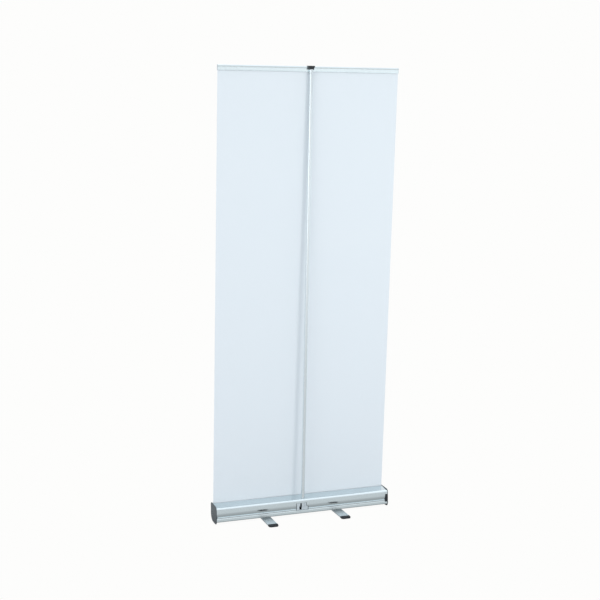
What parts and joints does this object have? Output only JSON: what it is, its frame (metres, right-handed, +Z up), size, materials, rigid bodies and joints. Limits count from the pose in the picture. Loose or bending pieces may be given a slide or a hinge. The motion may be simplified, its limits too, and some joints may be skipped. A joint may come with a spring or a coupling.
{
  "type": "roll-up banner stand",
  "caption": "Retractable banner stand: blank film on a spring roller in an aluminium housing, sectional rear pole with hook, clamping top rail, swivel feet.",
  "frame": {"origin": "on the floor under the middle of the housing", "axes": "+Z up, +X along the housing to the spring end, -Y the pole side, +Y the graphic side"},
  "size_m": [0.86, 0.287, 2.0917],
  "materials": {
    "anodised_aluminium": "satin anodised extrusion",
    "steel": "zinc-plated steel",
    "cap_grey": "fine-textured moulded plastic",
    "black_plastic": "moulded black plastic",
    "light_plastic": "light grey moulded plastic",
    "film": "blank satin display film",
    "cord": "braided elastic cord"
  },
  "bodies": {
    "base": {"housing": "anodised_aluminium", "left_end_cap": "cap_grey", "right_end_cap": "cap_grey", "left_cap_screw_1": "black_plastic", "left_cap_screw_2": "black_plastic", "left_cap_screw_3": "black_plastic", "right_cap_screw_1": "black_plastic", "right_cap_screw_2": "black_plastic", "right_cap_screw_3": "black_plastic", "lock_insert": "black_plastic", "left_axle_bush": "light_plastic", "spring_shaft": "steel", "spring_anchor": "black_plastic", "torsion_spring": "steel", "pole_socket": "light_plastic", "socket_screw_left": "steel", "socket_screw_right": "steel", "banner_film": "film", "left_foot_rivet": "steel", "right_foot_rivet": "steel", "left_foot_washer": "black_plastic", "right_foot_washer": "black_plastic"},
    "roller": {"roller_tube": "anodised_aluminium", "roller_idler_plug": "black_plastic", "roller_spring_plug": "black_plastic", "leader_wraps": "film"},
    "top_rail": {"rail_body": "anodised_aluminium", "rail_left_cap": "light_plastic", "rail_right_cap": "light_plastic"},
    "clamp_jaw": {"rail_clamp_jaw": "anodised_aluminium"},
    "pole_lower": {"pole_lower_tube": "anodised_aluminium", "pole_foot_plug": "black_plastic", "lower_ferrule": "anodised_aluminium", "shock_cord": "cord"},
    "pole_middle": {"pole_middle_tube": "anodised_aluminium", "upper_ferrule": "anodised_aluminium"},
    "pole_upper": {"pole_upper_tube": "anodised_aluminium", "pole_hook": "black_plastic"},
    "foot_left": {"left_foot": "anodised_aluminium", "left_foot_rear_tip": "black_plastic", "left_foot_front_tip": "black_plastic"},
    "foot_right": {"right_foot": "anodised_aluminium", "right_foot_rear_tip": "black_plastic", "right_foot_front_tip": "black_plastic"},
    "lock": {"lock_pin": "steel"}
  },
  "joints": [
    {"name": "banner_retract", "type": "slide", "parent": "base", "child": "top_rail", "axis": [0, 0.0729, -0.9973], "range_m": [0, 1.965], "deforming": ["banner_film"]},
    {"name": "roller_spin", "type": "hinge", "parent": "base", "child": "roller", "pos_m": [0, 0.01129, 0.046], "axis": [-1, 0, 0], "range_deg": [0, 6915]},
    {"name": "rail_clamp_open", "type": "hinge", "parent": "top_rail", "child": "clamp_jaw", "pos_m": [0, -0.12363, 2.08419], "axis": [1, 0, 0], "range_deg": [0, 50]},
    {"name": "pole_lift", "type": "slide", "parent": "base", "child": "pole_lower", "axis": [0, -0.0552, 0.9985], "range_m": [0, 0.055]},
    {"name": "pole_middle_pull", "type": "slide", "parent": "pole_lower", "child": "pole_middle", "axis": [0, -0.0552, 0.9985], "range_m": [0, 0.053]},
    {"name": "pole_upper_pull", "type": "slide", "parent": "pole_middle", "child": "pole_upper", "axis": [0, -0.0552, 0.9985], "range_m": [0, 0.053]},
    {"name": "left_foot_swivel", "type": "hinge", "parent": "base", "child": "foot_left", "pos_m": [-0.179, 0, 0.005], "axis": [0, 0, 1], "range_deg": [0, 90]},
    {"name": "right_foot_swivel", "type": "hinge", "parent": "base", "child": "foot_right", "pos_m": [0.179, 0, 0.005], "axis": [0, 0, -1], "range_deg": [0, 90]},
    {"name": "lock_pin_pull", "type": "slide", "parent": "base", "child": "lock", "axis": [1, 0, 0], "range_m": [0, 0.024]}
  ],
  "couplings": [
    {"joint": "roller_spin", "follows": "banner_retract", "rad_per_m": 61.4}
  ]
}
